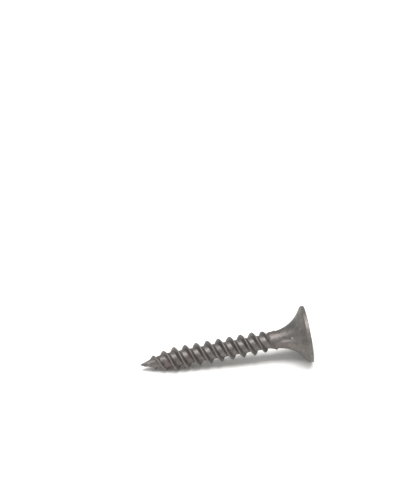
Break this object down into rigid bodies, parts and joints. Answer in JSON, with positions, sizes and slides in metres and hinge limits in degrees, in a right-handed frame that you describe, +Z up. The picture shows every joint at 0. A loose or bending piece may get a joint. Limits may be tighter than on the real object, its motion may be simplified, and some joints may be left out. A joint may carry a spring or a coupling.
{
  "type": "drywall screw",
  "caption": "Bugle-head drywall screw, 3.5 x 25 mm, with a cross recess, a twin-start thread and a sharp point.",
  "frame": {"origin": "centre of the screw's footprint as it lies, on the surface it rests on", "axes": "+X from the point towards the head, +Z up; the screw's own axis rises towards the head in the XZ plane, because the head is wider than the thread"},
  "size_m": [0.0254, 0.0084, 0.0084],
  "materials": {
    "phosphated_steel": "matt grey phosphate coating"
  },
  "bodies": {
    "root": {"screw": "phosphated_steel"}
  },
  "joints": []
}
